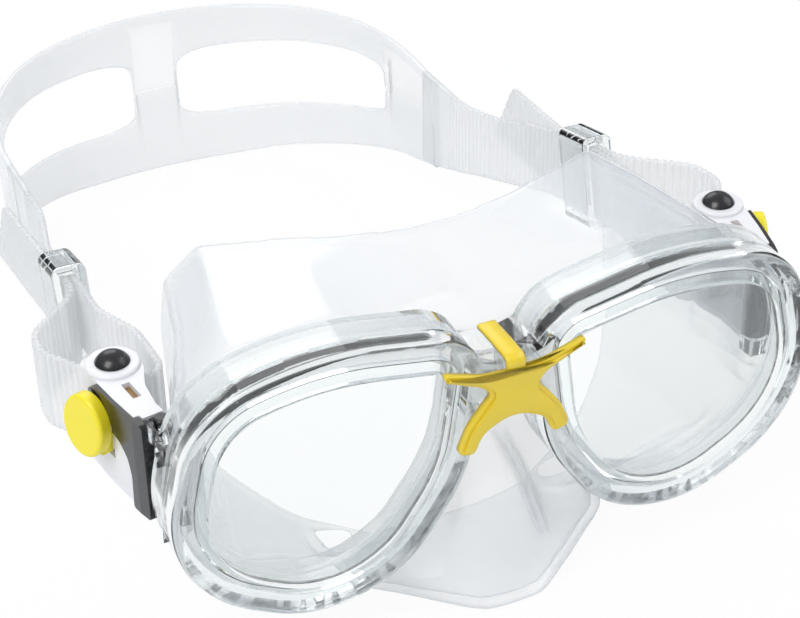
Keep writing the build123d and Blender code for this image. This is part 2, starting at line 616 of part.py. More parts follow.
def build():
    """Every node, in the mask frame where it belongs to the mask."""
    mask = {
        "front_frame": make_front_frame(),
        "rear_frame": make_rear_frame(),
        "lens_left": make_lens(1),
        "lens_right": make_lens(-1),
        "face_skirt": make_skirt(),
        "bridge_clip": make_bridge_clip(),
    }
    pair = {
        "hinge_pin": make_hinge_pin(),
        "buckle_arm": make_buckle_arm(),
        "buckle_body": make_buckle_body(),
        "strap_roller": make_strap_roller(),
        "roller_axle": make_roller_axle(),
        "release_button": make_release_button(),
        "button_spring": make_button_spring(),
        "ratchet_pawl": make_ratchet_pawl(),
        "pawl_pin": make_pawl_pin(),
        "strap_keeper": make_strap_keeper(),
        "strap_tail": make_strap_tail(),
    }
    for name, shape in pair.items():
        mask[name + "_left"] = shape
        mask[name + "_right"] = mirror(shape, about=Plane.YZ)
    nodes = {name: one(shape).moved(MASK_PLACE) for name, shape in mask.items()}
    behind = Pos(0, BAND_END_Y + 200, 0) * Box(400, 400, 400)
    for side in ("left", "right"):
        name = "strap_tail_" + side
        nodes[name] = one(nodes[name] - behind)
    nodes["head_strap"] = one(make_head_strap())
    return nodes


nodes = build()
boxes = [shape.bounding_box() for shape in nodes.values()]
low = [min(tuple(box.min)[i] for box in boxes) for i in range(3)]
high = [max(tuple(box.max)[i] for box in boxes) for i in range(3)]
shift = (-(low[0] + high[0]) / 2, -(low[1] + high[1]) / 2, -low[2])
os.makedirs("parts", exist_ok=True)
for name, shape in nodes.items():
    export_step(shape.moved(Location(shift)), "parts/" + name + ".step")
print("moved by", [round(value, 3) for value in shift])
print("size", [round(high[i] - low[i], 2) for i in range(3)])
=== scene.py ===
"""Looks for a two-lens snorkel mask: materials, the soft silicone pieces, the camera and the studio."""

import json
import math

import bmesh
import bpy
import numpy as np
from mathutils import Euler, Matrix, Vector


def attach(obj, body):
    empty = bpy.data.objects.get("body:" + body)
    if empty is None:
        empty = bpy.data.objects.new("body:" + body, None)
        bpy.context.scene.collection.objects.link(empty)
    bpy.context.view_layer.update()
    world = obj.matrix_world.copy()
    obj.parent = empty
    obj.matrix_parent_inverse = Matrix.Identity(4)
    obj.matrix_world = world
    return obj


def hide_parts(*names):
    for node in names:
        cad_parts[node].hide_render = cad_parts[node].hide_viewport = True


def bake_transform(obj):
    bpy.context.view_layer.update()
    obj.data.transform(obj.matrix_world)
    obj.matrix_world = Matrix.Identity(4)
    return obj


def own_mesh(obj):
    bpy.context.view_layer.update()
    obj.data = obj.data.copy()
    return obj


bl_info = {
    "name": "Snorkel Mask Looks",
    "version": (1, 0, 0),
    "blender": (4, 5, 0),
    "location": "3D View > Sidebar > Mask",
    "description": "Dresses the solids of a two-lens snorkel mask and sets up a studio for it",
    "category": "Object",
}

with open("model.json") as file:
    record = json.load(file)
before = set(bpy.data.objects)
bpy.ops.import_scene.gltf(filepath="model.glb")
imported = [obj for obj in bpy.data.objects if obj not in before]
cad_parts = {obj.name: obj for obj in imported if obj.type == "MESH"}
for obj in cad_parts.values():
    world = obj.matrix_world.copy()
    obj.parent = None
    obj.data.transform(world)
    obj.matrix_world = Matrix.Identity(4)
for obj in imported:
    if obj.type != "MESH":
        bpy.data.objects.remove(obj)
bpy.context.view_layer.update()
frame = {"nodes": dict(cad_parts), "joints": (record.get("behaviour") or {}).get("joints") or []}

MM = 0.001
SIDES = {"left": 1, "right": -1}
LEAN = math.radians(3.9)
PIN = (74.5, -13.5)
TURN = math.radians(8.5)
ROLLER_BACK = 23.5
STROKE = 0.0008
STRAP = {"thick": 2.0, "half_width": 10.3, "inner_x": 72.15, "outer_x": 74.45}
KEEPER = {"front": 57.0, "back": 83.0}
BAND = {"radius": 65.5, "centre": 161.5, "end": 148.0}


def joint(name):
    """A joint of the frame, by name."""
    return next(j for j in frame["joints"] if j["name"] == name)


LEANING = Matrix.Rotation(LEAN, 4, "X")
PIN_AT = Vector(joint("buckle_swivel_left")["pos_m"])
ORIGIN = PIN_AT - LEANING @ Vector((PIN[0] * MM, PIN[1] * MM, 0))
MASK = Matrix.Translation(ORIGIN) @ LEANING @ Matrix.Scale(MM, 4)
FLOOR_SHIFT = ORIGIN.y


def buckle_spot(u, v):
    """A point in plan given along the left buckle (u) and outwards from it (v), in mm."""
    s, c = math.sin(TURN), math.cos(TURN)
    return (PIN[0] + u * s + v * c, PIN[1] + u * c - v * s)


class MaskShape(bpy.types.PropertyGroup):
    """Sizes of the soft pieces and of their small relief."""

    rib_pitch: bpy.props.FloatProperty(
        name="Rib pitch", description="Spacing of the strap's ribs", default=2.1 * MM, min=0.5 * MM, unit="LENGTH"
    )
    rib_height: bpy.props.FloatProperty(
        name="Rib height", description="How far the strap's ribs stand out", default=0.55 * MM, min=0.0, unit="LENGTH"
    )
    bead_radius: bpy.props.FloatProperty(
        name="Bead radius", description="Radius of the rolled edge of the head strap", default=1.2 * MM, unit="LENGTH"
    )
    skirt_voxel: bpy.props.FloatProperty(
        name="Skirt detail", description="Grain of the skirt's smooth surface", default=0.62 * MM, min=0.3 * MM, unit="LENGTH"
    )
    skirt_smoothing: bpy.props.IntProperty(
        name="Skirt smoothing", description="Passes that round the skirt's folds", default=60, min=0
    )


class MaskColours(bpy.types.PropertyGroup):
    """Colours of the mask's finishes."""

    clear: bpy.props.FloatVectorProperty(
        name="Clear plastic", description="Tint of the frame", subtype="COLOR", size=4, default=(0.955, 0.985, 0.992, 1)
    )
    silicone: bpy.props.FloatVectorProperty(
        name="Silicone", description="Tint of the skirt", subtype="COLOR", size=4, default=(0.80, 0.84, 0.87, 1)
    )
    strap: bpy.props.FloatVectorProperty(
        name="Strap", description="Tint of the head strap", subtype="COLOR", size=4, default=(0.88, 0.895, 0.905, 1)
    )
    clip: bpy.props.FloatVectorProperty(
        name="Clip", description="Yellow of the bridge clip", subtype="COLOR", size=4, default=(0.86, 0.64, 0.03, 1)
    )
    button: bpy.props.FloatVectorProperty(
        name="Button", description="Yellow of the release buttons", subtype="COLOR", size=4, default=(0.93, 0.79, 0.02, 1)
    )
    white: bpy.props.FloatVectorProperty(
        name="White plastic", description="White of the buckles", subtype="COLOR", size=4, default=(0.83, 0.83, 0.86, 1)
    )
    black: bpy.props.FloatVectorProperty(
        name="Black plastic", description="Black of the buckle arms", subtype="COLOR", size=4, default=(0.006, 0.006, 0.007, 1)
    )


# Shader expressions


class Wire:
    """A shader socket that can be used in arithmetic."""

    def __init__(self, sheet, socket):
        self.sheet = sheet
        self.socket = socket

    def _math(self, operation, first, second):
        return self.sheet.node("ShaderNodeMath", {"operation": operation}, {0: first, 1: second})

    def __add__(self, other):
        return self._math("ADD", self, other)

    __radd__ = __add__

    def __mul__(self, other):
        return self._math("MULTIPLY", self, other)

    __rmul__ = __mul__

    def __sub__(self, other):
        return self._math("SUBTRACT", self, other)

    def __rsub__(self, other):
        return self._math("SUBTRACT", other, self)

    def __truediv__(self, other):
        return self._math("DIVIDE", self, other)

    def __pow__(self, other):
        return self._math("POWER", self, other)

    def __gt__(self, other):
        return self._math("GREATER_THAN", self, other)


class Sheet:
    """A node tree that is filled by expressions."""

    def __init__(self, tree):
        self.tree = tree
        tree.nodes.clear()

    def node(self, kind, settings=None, inputs=None, out=0):
        """Adds a node: its settings first, then values or links for its sockets."""
        made = self.tree.nodes.new(kind)
        for key, value in (settings or {}).items():
            if key == "stops":
                ramp = made.color_ramp
                while len(ramp.elements) < len(value):
                    ramp.elements.new(0.5)
                for element, (place, colour) in zip(ramp.elements, value):
                    element.position = place
                    element.color = colour
            else:
                setattr(made, key, value)
        for key, value in (inputs or {}).items():
            if isinstance(value, Wire):
                self.tree.links.new(value.socket, made.inputs[key])
            else:
                made.inputs[key].default_value = value
        return Wire(self, made.outputs[out]) if len(made.outputs) else None

    def mix(self, factor, first, second):
        """A colour between two colours."""
        return self.node("ShaderNodeMix", {"data_type": "RGBA"}, {0: factor, 6: first, 7: second}, out=2)

    def noise(self, scale, detail=3.0, rough=0.5):
        """Even noise over the piece, from 0 to 1."""
        place = self.node("ShaderNodeTexCoord", out=3)
        return self.node(
            "ShaderNodeTexNoise", {}, {"Vector": place, "Scale": scale, "Detail": detail, "Roughness": rough}
        )

    def bump(self, height, strength, distance):
        """A normal raised by height, a value from 0 to 1."""
        return self.node(
            "ShaderNodeBump", {}, {"Height": height, "Strength": strength, "Distance": distance}
        )


def finish(name, varying, constants):
    """A material with one main shader. varying(sheet) gives what changes over the surface."""
    material = bpy.data.materials.new(name)
    material.use_nodes = True
    sheet = Sheet(material.node_tree)
    values = dict(constants)
    values.update(varying(sheet))
    shader = sheet.node("ShaderNodeBsdfPrincipled", {}, values)
    sheet.node("ShaderNodeOutputMaterial", {}, {"Surface": shader})
    return material


def darker(colour, share):
    """The same colour at a share of its brightness."""
    return (colour[0] * share, colour[1] * share, colour[2] * share, 1.0)


def clear_plastic(colour):
    """Polished clear plastic with faint moulding flow."""

    def varying(s):
        flow = s.noise(55.0, 2.0)
        grain = s.noise(900.0, 2.0)
        return {
            "Base Color": s.mix(flow, tuple(colour), darker(colour, 0.965)),
            "Roughness": 0.012 + flow * 0.03,
            "Normal": s.bump(flow * 0.9 + grain * 0.1, 0.06, 0.0006),
        }

    return finish("clear_polycarbonate", varying, {"Transmission Weight": 1.0, "IOR": 1.46})


def lens_glass():
    """Toughened glass with a hint of green and a trace of wiping."""

    def varying(s):
        wipe = s.noise(38.0, 4.0)
        return {
            "Base Color": s.mix(wipe, (0.975, 0.99, 0.99, 1), (0.955, 0.985, 0.98, 1)),
            "Roughness": wipe * 0.02,
        }

    return finish("toughened_glass", varying, {"Transmission Weight": 1.0, "IOR": 1.46, "Specular IOR Level": 0.5})


def silicone(name, colour, thin, dense, rough):
    """Clear silicone: thin where it is seen square on, denser towards its edges."""

    def varying(s):
        cloud = s.noise(26.0, 3.0)
        skin = s.noise(420.0, 3.0)
        edge = s.node("ShaderNodeLayerWeight", {}, {"Blend": 0.5}, out=1)
        return {
            "Base Color": s.mix(cloud, tuple(colour), darker(colour, 0.95)),
            "Roughness": rough + cloud * 0.08,
            "Alpha": thin + (edge ** 2.2) * (dense - thin) + cloud * 0.06,
            "Normal": s.bump(cloud * 0.7 + skin * 0.3, 0.10, 0.0008),
        }

    return finish(
        name,
        varying,
        {"Transmission Weight": 0.25, "IOR": 1.41, "Coat Roughness": 0.08, "Coat Weight": 0.6},
    )


def moulded(name, colour, rough, grain_scale, grain):
    """Solid coloured plastic with a fine moulded grain."""

    def varying(s):
        tone = s.noise(70.0, 3.0)
        speck = s.noise(grain_scale, 4.0, 0.6)
        return {
            "Base Color": s.mix(tone, tuple(colour), darker(colour, 0.9)),
            "Roughness": rough + speck * 0.12,
            "Normal": s.bump(speck, grain, 0.0003),
        }

    return finish(name, varying, {"Coat Weight": 0.2, "Coat Roughness": 0.1, "IOR": 1.5})


def spring_wire():
    """Bright drawn steel wire."""

    def varying(s):
        drawn = s.noise(700.0, 2.0)
        return {
            "Base Color": s.mix(drawn, (0.72, 0.73, 0.75, 1), (0.5, 0.51, 0.53, 1)),
            "Roughness": 0.22 + drawn * 0.15,
        }

    return finish("steel_wire", varying, {"Metallic": 1.0})


MATERIALS = {}


def material(name):
    """A finish of the mask, made when it is first used."""
    colours = bpy.context.scene.mask_colours
    makers = {
        "clear": lambda: clear_plastic(colours.clear),
        "lens": lens_glass,
        "skirt": lambda: silicone("skirt_silicone", colours.silicone, 0.17, 0.92, 0.08),
        "strap": lambda: silicone("strap_silicone", colours.strap, 0.40, 0.95, 0.18),
        "clip": lambda: moulded("yellow_clip_plastic", colours.clip, 0.26, 900.0, 0.10),
        "button": lambda: moulded("yellow_button_plastic", colours.button, 0.32, 1200.0, 0.12),
        "white": lambda: moulded("white_buckle_plastic", colours.white, 0.30, 1100.0, 0.12),
        "black": lambda: moulded("black_arm_plastic", colours.black, 0.20, 1500.0, 0.10),
        "wire": spring_wire,
        # painted shade: a dark orange-brown that stands for the yellow plastic in shadow under the buckles' cheek
        # windows
        "painted_shade_yellow": lambda: moulded("painted_shade_yellow_plastic", (0.30, 0.17, 0.04, 1), 0.35, 900.0, 0.10),
    }
    if name not in MATERIALS:
        MATERIALS[name] = makers[name]()
    return MATERIALS[name]


def paint(node, name):
    """Gives a solid of the frame its finish."""
    solid = frame["nodes"][node]
    solid.data.materials.clear()
    solid.data.materials.append(material(name))
    return solid


# Mesh helpers


def new_mesh(name, points, faces, place=None):
    """A closed mesh from points and faces; place takes it to the row frame in metres."""
    mesh = bpy.data.meshes.new(name)
    mesh.from_pydata([tuple(p) for p in points], [], faces)
    if place is not None:
        mesh.transform(place)
    mesh.validate()
    build = bmesh.new()
    build.from_mesh(mesh)
    bmesh.ops.remove_doubles(build, verts=build.verts, dist=0.00001)
    bmesh.ops.recalc_face_normals(build, faces=build.faces)
    build.to_mesh(mesh)
    build.free()
    mesh.shade_smooth()
    thing = bpy.data.objects.new(name, mesh)
    bpy.context.scene.collection.objects.link(thing)
    return thing


def tube_faces(rings, size, closed_ends=True):
    """Quads between rings of size points each, with a cap at both ends."""
    faces = []
    for i in range(rings - 1):
        for k in range(size):
            a, b = i * size + k, i * size + (k + 1) % size
            faces.append((a, b, b + size, a + size))
    if closed_ends:
        faces.append(tuple(range(size))[::-1])
        faces.append(tuple(range((rings - 1) * size, rings * size)))
    return faces


def rounded_path(points, radii, step):
    """Samples of a polyline with arcs at its corners: positions in plan, in mm."""
    samples = [Vector(points[0])]
    here = Vector(points[0])

    def run(to):
        nonlocal here
        count = max(1, round((to - here).length / step))
        start = here.copy()
        for i in range(1, count + 1):
            samples.append(start.lerp(to, i / count))
        here = to

    for i, radius in enumerate(radii):
        before, corner, after = (Vector(points[i + k]) for k in range(3))
        a, b = (corner - before).normalized(), (after - corner).normalized()
        turn = a.angle_signed(b)
        reach = radius * math.tan(abs(turn) / 2)
        run(corner - a * reach)
        side = Vector((-a.y, a.x)) * (-1 if turn > 0 else 1)
        centre = here + side * radius
        count = max(2, round(abs(turn) * radius / step))
        arm = here - centre
        for k in range(1, count + 1):
            samples.append(centre + Matrix.Rotation(-turn * k / count, 2) @ arm)
        here = samples[-1].copy()
    run(Vector(points[-1]))
    return samples


def plan_normals(samples):
    """Unit normals, to the left of the path's direction, at each sample."""
    normals = []
    for i in range(len(samples)):
        ahead = samples[min(i + 1, len(samples) - 1)] - samples[max(i - 1, 0)]
        ahead.normalize()
        normals.append(Vector((-ahead.y, ahead.x)))
    return normals


def lengths(samples):
    """Distance along the path at each sample."""
    total = [0.0]
    for a, b in zip(samples, samples[1:]):
        total.append(total[-1] + (b - a).length)
    return total


def along(y, stations):
    """A smooth height at y through (y, height) stations."""
    ys, zs = zip(*stations)
    near = np.linspace(y - 4.0, y + 4.0, 9)
    return float(np.mean(np.interp(near, ys, zs)))


# Strap tails

INNER_TOP = [(-30, 10.3), (14, 10.3), (57, 5.25), (83, -1.2), (110, -9.6), (130, -13.3), (160, -14.9)]
INNER_LOW = [(-30, -10.3), (14, -10.3), (57, -15.35), (83, -21.8), (99, -27.2), (118, -32.7), (147, -44.3), (160, -47.6)]
OUTER_TOP = [(-30, 10.3), (14, 10.3), (57, 5.25), (83, -1.2), (116, -4.5), (140, -8.0)]
OUTER_LOW = [(-30, -10.3), (14, -10.3), (57, -15.35), (83, -21.8), (99, -23.4), (128, -25.8), (140, -26.4)]
TAIL_TIP = ((116.0, -4.5), (128.0, -25.8))


def tail_line():
    """The middle of the strap tail in plan: in from the head strap, round the roller and back."""
    wrap = 2.2 + 0.3 + STRAP["thick"] / 2
    points = [
        (65.4, 154), (65.4, 122), (STRAP["inner_x"], 88.5), (STRAP["inner_x"], KEEPER["front"]), (72.4, 42),
        (67.4, 27), buckle_spot(ROLLER_BACK - wrap, -10.4), buckle_spot(ROLLER_BACK - wrap, wrap),
        buckle_spot(ROLLER_BACK + 5.6, wrap), (89.4, 28), (88.9, 38), (STRAP["outer_x"], KEEPER["front"] - 3.5),
        (STRAP["outer_x"], 87.0), (STRAP["outer_x"] + 2.3, TAIL_TIP[1][0]),
    ]
    radii = [60, 60, 30, 16, 16, 4.6, wrap, 10, 9, 10, 14, 60]
    return rounded_path(points, radii, 0.3)


def tail_mesh(side):
    """One ribbed strap tail."""
    shape = bpy.context.scene.mask_shape
    samples = tail_line()
    normals = plan_normals(samples)
    distance = lengths(samples)
    turn_at = min(range(len(samples)), key=lambda i: samples[i].y)
    pitch, height = shape.rib_pitch / MM, shape.rib_height / MM
    points = []
    size = 14
    for i, (spot, normal) in enumerate(zip(samples, normals)):
        inner = i < turn_at
        top = along(spot.y, INNER_TOP if inner else OUTER_TOP)
        low = along(spot.y, INNER_LOW if inner else OUTER_LOW)
        if not inner and spot.y > TAIL_TIP[0][0] - 0.5:
            share = min(1.0, (spot.y - TAIL_TIP[0][0] + 0.5) / (TAIL_TIP[1][0] - TAIL_TIP[0][0]))
            top = top + (low + 0.8 - top) * share
        wave = abs(math.sin(math.pi * distance[i] / pitch)) ** 0.6
        plain = spot.y > 136 and inner
        half = STRAP["thick"] / 2 - (0.0 if plain else height * (1 - wave))
        top -= 0.0 if plain else height * (1 - wave)
        soft = min(0.7, (top - low) / 3)
        ring = [
            (-half, low + soft), (-half, low + (top - low) * 0.33), (-half, low + (top - low) * 0.67), (-half, top - soft),
            (-half * 0.8, top - soft * 0.25), (-half * 0.4, top), (half * 0.4, top),
            (half * 0.8, top - soft * 0.25), (half, top - soft), (half, low + (top - low) * 0.6),
            (half, low + soft), (half * 0.8, low + soft * 0.25), (half * 0.3, low), (-half * 0.8, low + soft * 0.25),
        ]
        for across, z in ring:
            x = spot.x + normal.x * across
            y = spot.y + normal.y * across
            points.append((side * x, y, z))
    faces = tube_faces(len(samples), size)
    return points, faces


class MASK_OT_strap_tails(bpy.types.Operator):
    """Makes the ribbed ends of the head strap, which bend between the buckles and the band"""

    bl_idname = "mask.strap_tails"
    bl_label = "Strap Tails"

    def execute(self, context):
        for name, side in SIDES.items():
            points, faces = tail_mesh(side)
            tail = new_mesh("ribbed_tail_" + name, points, faces, MASK)
            tail.data.materials.append(material("strap"))
            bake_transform(tail)
            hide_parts("strap_tail_" + name)
        return {"FINISHED"}


# Head strap

BAND_TOP = [(140, 48.6), (150, 49.0), (170, 51.2), (190, 54.3), (207, 55.7), (240, 55.7)]
BAND_LOW = [(140, 19.9), (150, 19.2), (160, 16.4), (178, 13.1), (198, 8.8), (215, 5.0), (225, 1.2), (232, 0.0), (240, 0.0)]
WINDOW = {"from": 6.5, "to": 74.0}
WINDOW_TOP = [(0, 41.0), (0.26, 42.4), (0.55, 43.6), (0.82, 43.6), (1, 42.6)]
WINDOW_LOW = [(0, 17.6), (0.16, 18.0), (0.42, 20.4), (0.72, 22.8), (1, 25.4)]


def band_columns():
    """Stations round the band: (plan point, outward normal, share along the window)."""
    first, last = WINDOW["from"], WINDOW["to"]
    half = [i * first / 5 for i in range(5)]
    half += [first + (last - first) * (0.5 - 0.5 * math.cos(math.pi * i / 72)) for i in range(73)]
    half += [last + (90 - last) * i / 8 for i in range(1, 9)]
    columns = []
    for angle in half:
        a = math.radians(angle)
        spot = Vector((BAND["radius"] * math.sin(a), BAND["centre"] + BAND["radius"] * math.cos(a)))
        columns.append((spot, Vector((math.sin(a), math.cos(a))), (angle - first) / (last - first)))
    for i in range(1, 13):
        y = BAND["centre"] + (BAND["end"] - BAND["centre"]) * i / 12
        columns.append((Vector((BAND["radius"], y)), Vector((1, 0)), 2.0))
    return columns


def window_edges(share):
    """Lower and upper edge of the window at a share of its length, equal outside it."""
    middle = 29.0 + 5.0 * min(max(share, 0), 1)
    if not 0.0 < share < 1.0:
        return middle, middle
    end = (1 - abs(2 * share - 1) ** 6) ** (1 / 6)
    xs, high = zip(*WINDOW_TOP)
    xs_low, low = zip(*WINDOW_LOW)
    top = middle + (np.interp(share, xs, high) - middle) * end
    bottom = middle - (middle - np.interp(share, xs_low, low)) * end
    return float(bottom), float(top)


def strip_ring(low, high, bead, half, low_free, high_free):
    """The section of one strip of the band, as (across, z), with a rolled bead on a free edge."""
    reach = min(bead, (high - low) / 2.2)
    ring = []

    def rim(edge, way, free):
        spots = []
        for angle in (10, -25, -60, -90):
            a = math.radians(angle)
            if free:
                spots.append((reach * math.cos(a), edge + way * (reach + reach * math.sin(a))))
            else:
                spots.append((half if angle > -90 else 0.0, edge))
        spots.insert(0, (half, edge + way * (reach * 2.6 if free else 0.01 * reach)))
        return spots

    bottom, top = rim(low, 1, low_free), rim(high, -1, high_free)
    ring += bottom[::-1]
    ring += top
    ring += [(-x, z) for x, z in top[:-1][::-1]]
    ring += [(-x, z) for x, z in bottom[:-1]]
    return ring


def band_mesh(bead):
    """The split band's points and faces, in mm in the row frame before its shift."""
    right = band_columns()
    columns = [(Vector((-p.x, p.y)), Vector((-n.x, n.y)), q) for p, n, q in right[:0:-1]] + right
    rings = {"low": [], "high": []}
    points = []
    merged = []
    for spot, normal, share in columns:
        bottom, top = window_edges(share)
        apart = top - bottom > 0.6
        if not apart:
            bottom = top = (bottom + top) / 2
        merged.append(not apart)
        near_end = max(0.0, 1 - (spot.y - BAND["end"]) / 5.0)
        half = 0.85 + 0.35 * near_end * near_end
        z0, z1 = along(spot.y, BAND_LOW), along(spot.y, BAND_TOP)
        for key, ring in (
            ("low", strip_ring(z0, bottom, bead, half, True, apart)),
            ("high", strip_ring(top, z1, bead, half, apart, True)),
        ):
            rings[key].append(len(points))
            size = len(ring)
            for across, z in ring:
                points.append((spot.x + normal.x * across, spot.y + normal.y * across, z))
    faces = []
    for key, starts in rings.items():
        for i in range(len(starts) - 1):
            both = merged[i] and merged[i + 1]
            for k in range(size):
                a, b = starts[i] + k, starts[i] + (k + 1) % size
                c, d = starts[i + 1] + (k + 1) % size, starts[i + 1] + k
                if both and is_inner_rim(key, k, size):
                    continue
                faces.append((a, b, c, d))
        for start in (starts[0], starts[-1]):
            faces.append(tuple(start + k for k in range(size)))
    return points, faces


def is_inner_rim(key, k, size):
    """True for the ring's edges that face the other strip."""
    rim = 5
    if key == "low":
        return rim <= k < size - rim + 1 - 1 and rim <= k <= 2 * rim + 2
    return k < rim - 1 or k >= size - rim


class MASK_OT_head_strap(bpy.types.Operator):
    """Makes the split head strap with its rolled edges"""

    bl_idname = "mask.head_strap"
    bl_label = "Head Strap"

    def execute(self, context):
        bead = context.scene.mask_shape.bead_radius / MM
        points, faces = band_mesh(bead)
        place = Matrix.Translation((0, FLOOR_SHIFT, 0)) @ Matrix.Scale(MM, 4)
        band = new_mesh("split_band", points, faces, place)
        band.data.materials.append(material("strap"))
        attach(band, "mask")
        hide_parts("head_strap")
        return {"FINISHED"}


# Bridge clip

CLIP_RIGHT = [
    (0, 15.6), (7.5, 16.0), (17.6, 19.4), (16.6, 17.0), (8.0, 13.2), (5.6, 10.6),
    (8.2, 7.6), (11.6, 3.0), (14.2, -3.6), (9.8, -4.6), (7.6, 0.6), (0, 4.2),
]
CLIP_RADII = [30, 12, 0.8, 0.8, 6, 1.6, 6, 9, 1.6, 1.6, 6, 12]
CLIP = {"back": -31.7, "base": -33.3, "front": -33.9, "hook_half": 2.3, "hook_end": -18.5}


def closed_round(points, radii, step):
    """A closed outline with rounded corners, as samples."""
    count = len(points)
    samples = []
    for i in range(count):
        before, corner, after = (Vector(points[(i + k) % count]) for k in (-1, 0, 1))
        a, b = (corner - before).normalized(), (after - corner).normalized()
        turn = a.angle_signed(b)
        if abs(turn) < 0.01:
            samples.append(corner)
            continue
        reach = radii[i] * math.tan(abs(turn) / 2)
        limit = 0.48 * min((corner - before).length, (after - corner).length)
        radius = radii[i] * min(1.0, limit / reach)
        reach = min(reach, limit)
        side = Vector((-a.y, a.x)) * (-1 if turn > 0 else 1)
        start = corner - a * reach
        centre = start + side * radius
        steps = max(2, round(abs(turn) * radius / step))
        for k in range(steps + 1):
            samples.append(centre + Matrix.Rotation(-turn * k / steps, 2) @ (start - centre))
    return samples


def plate(name, outline, back, front, edge):
    """A plate with a rounded front edge, from an outline in x and z."""
    build = bmesh.new()
    face = build.faces.new([build.verts.new((p.x, back, p.y)) for p in outline])
    pushed = bmesh.ops.extrude_face_region(build, geom=[face])
    moved = [v for v in pushed["geom"] if isinstance(v, bmesh.types.BMVert)]
    bmesh.ops.translate(build, verts=moved, vec=(0, front - back, 0))
    bmesh.ops.recalc_face_normals(build, faces=build.faces)
    rim = [e for e in build.edges if all(abs(v.co.y - front) < 1e-4 for v in e.verts)]
    bmesh.ops.bevel(build, geom=rim, offset=edge, segments=3, profile=0.5, affect="EDGES", clamp_overlap=True)
    bmesh.ops.triangulate(build, faces=[f for f in build.faces if len(f.verts) > 4])
    mesh = bpy.data.meshes.new(name)
    build.to_mesh(mesh)
    build.free()
    mesh.transform(MASK)
    mesh.shade_smooth()
    thing = bpy.data.objects.new(name, mesh)
    bpy.context.scene.collection.objects.link(thing)
    return thing


def clip_outline(inward=0.0):
    """The clip's X outline, drawn in towards its middle line by inward."""
    left = [(-x, z) for x, z in CLIP_RIGHT[-2:0:-1]]
    radii = CLIP_RADII + CLIP_RADII[-2:0:-1]
    samples = closed_round(CLIP_RIGHT + left, radii, 0.5)
    if inward:
        count = len(samples)
        moved = []
        for i, spot in enumerate(samples):
            way = (samples[(i + 1) % count] - samples[i - 1]).normalized()
            moved.append(spot + Vector((way.y, -way.x)) * inward)
        samples = moved
    return samples


def hook_mesh():
    """The hook over the top of the bridge: a strip with rounded long edges."""
    half, end = CLIP["hook_half"], CLIP["hook_end"]
    path = [(-33.1, 14.4), (-33.1, 18.2), (-31.9, 18.9), (-26.0, 19.0), (end, 18.7)]
    spots = rounded_path(path, [0.8, 0.8, 6.0], 0.5)
    normals = plan_normals(spots)
    points = []
    for spot, normal in zip(spots, normals):
        for x, out in ((-half, -0.5), (-half, 0.2), (-half + 0.4, 0.5), (half - 0.4, 0.5), (half, 0.2), (half, -0.5)):
            points.append((x, spot.x + normal.x * out, spot.y + normal.y * out))
    return points, tube_faces(len(spots), 6)


class MASK_OT_bridge_clip(bpy.types.Operator):
    """Makes the yellow X-shaped clip with its raised middle and its hook"""

    bl_idname = "mask.bridge_clip"
    bl_label = "Bridge Clip"

    def execute(self, context):
        base = plate("clip_base", clip_outline(), CLIP["back"], CLIP["base"], 0.45)
        raised = plate("clip_ridge", clip_outline(1.1), CLIP["base"] + 0.2, CLIP["front"], 0.3)
        hook = new_mesh("clip_hook", *hook_mesh(), MASK)
        for piece in (base, raised, hook):
            piece.data.materials.append(material("clip"))
            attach(piece, "mask")
        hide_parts("bridge_clip")
        return {"FINISHED"}


WINDOW_FLOOR = {"u": (9.8, 15.6), "v": (-0.05, 1.75), "z": (11.65, 12.1)}


class MASK_OT_window_floors(bpy.types.Operator):
    """Makes the floors seen through the windows in the buckles' cheeks, in a dark orange-brown that is painted shade on
    the yellow plastic there
    """

    bl_idname = "mask.window_floors"
    bl_label = "Window Floors"

    def execute(self, context):
        (u0, u1), (v0, v1), (z0, z1) = WINDOW_FLOOR["u"], WINDOW_FLOOR["v"], WINDOW_FLOOR["z"]
        for name, side in SIDES.items():
            corners = [(u0, v0), (u1, v0), (u1, v1), (u0, v1)]
            points = []
            for z, grow in ((z0, 0.0), (z1 - 0.1, 0.0), (z1, 0.12)):
                middle = ((u0 + u1) / 2, (v0 + v1) / 2)
                for u, v in corners:
                    u -= grow * (1 if u > middle[0] else -1)
                    v -= grow * (1 if v > middle[1] else -1)
                    x, y = buckle_spot(u, v)
                    points.append((side * x, y, z))
            floor = new_mesh("window_floor_" + name, points, tube_faces(3, 4), MASK)
            floor.data.shade_flat()
            # painted shade: the floor takes the dark orange-brown that stands for shaded yellow plastic
            floor.data.materials.append(material("painted_shade_yellow"))
            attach(floor, "buckle_" + name)
        return {"FINISHED"}


# Skirt


class MASK_OT_skirt(bpy.types.Operator):
    """Makes the smooth silicone skirt from the solid one"""

    bl_idname = "mask.skirt"
    bl_label = "Silicone Skirt"

    def execute(self, context):
        shape = context.scene.mask_shape
        source = frame["nodes"]["face_skirt"]
        skirt = bpy.data.objects.new("soft_skirt", source.data.copy())
        context.scene.collection.objects.link(skirt)
        weld = skirt.modifiers.new("weld", "WELD")
        weld.merge_threshold = 0.00001
        remesh = skirt.modifiers.new("remesh", "REMESH")
        remesh.mode = "VOXEL"
        remesh.voxel_size = shape.skirt_voxel
        remesh.use_smooth_shade = True
        smooth = skirt.modifiers.new("smooth", "SMOOTH")
        smooth.factor = 0.6
        smooth.iterations = shape.skirt_smoothing
        graph = context.evaluated_depsgraph_get()
        made = bpy.data.meshes.new_from_object(skirt.evaluated_get(graph))
        skirt.modifiers.clear()
        skirt.data = made
        skirt.data.shade_smooth()
        skirt.data.materials.clear()
        skirt.data.materials.append(material("skirt"))
        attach(skirt, "mask")
        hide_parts("face_skirt")
        return {"FINISHED"}


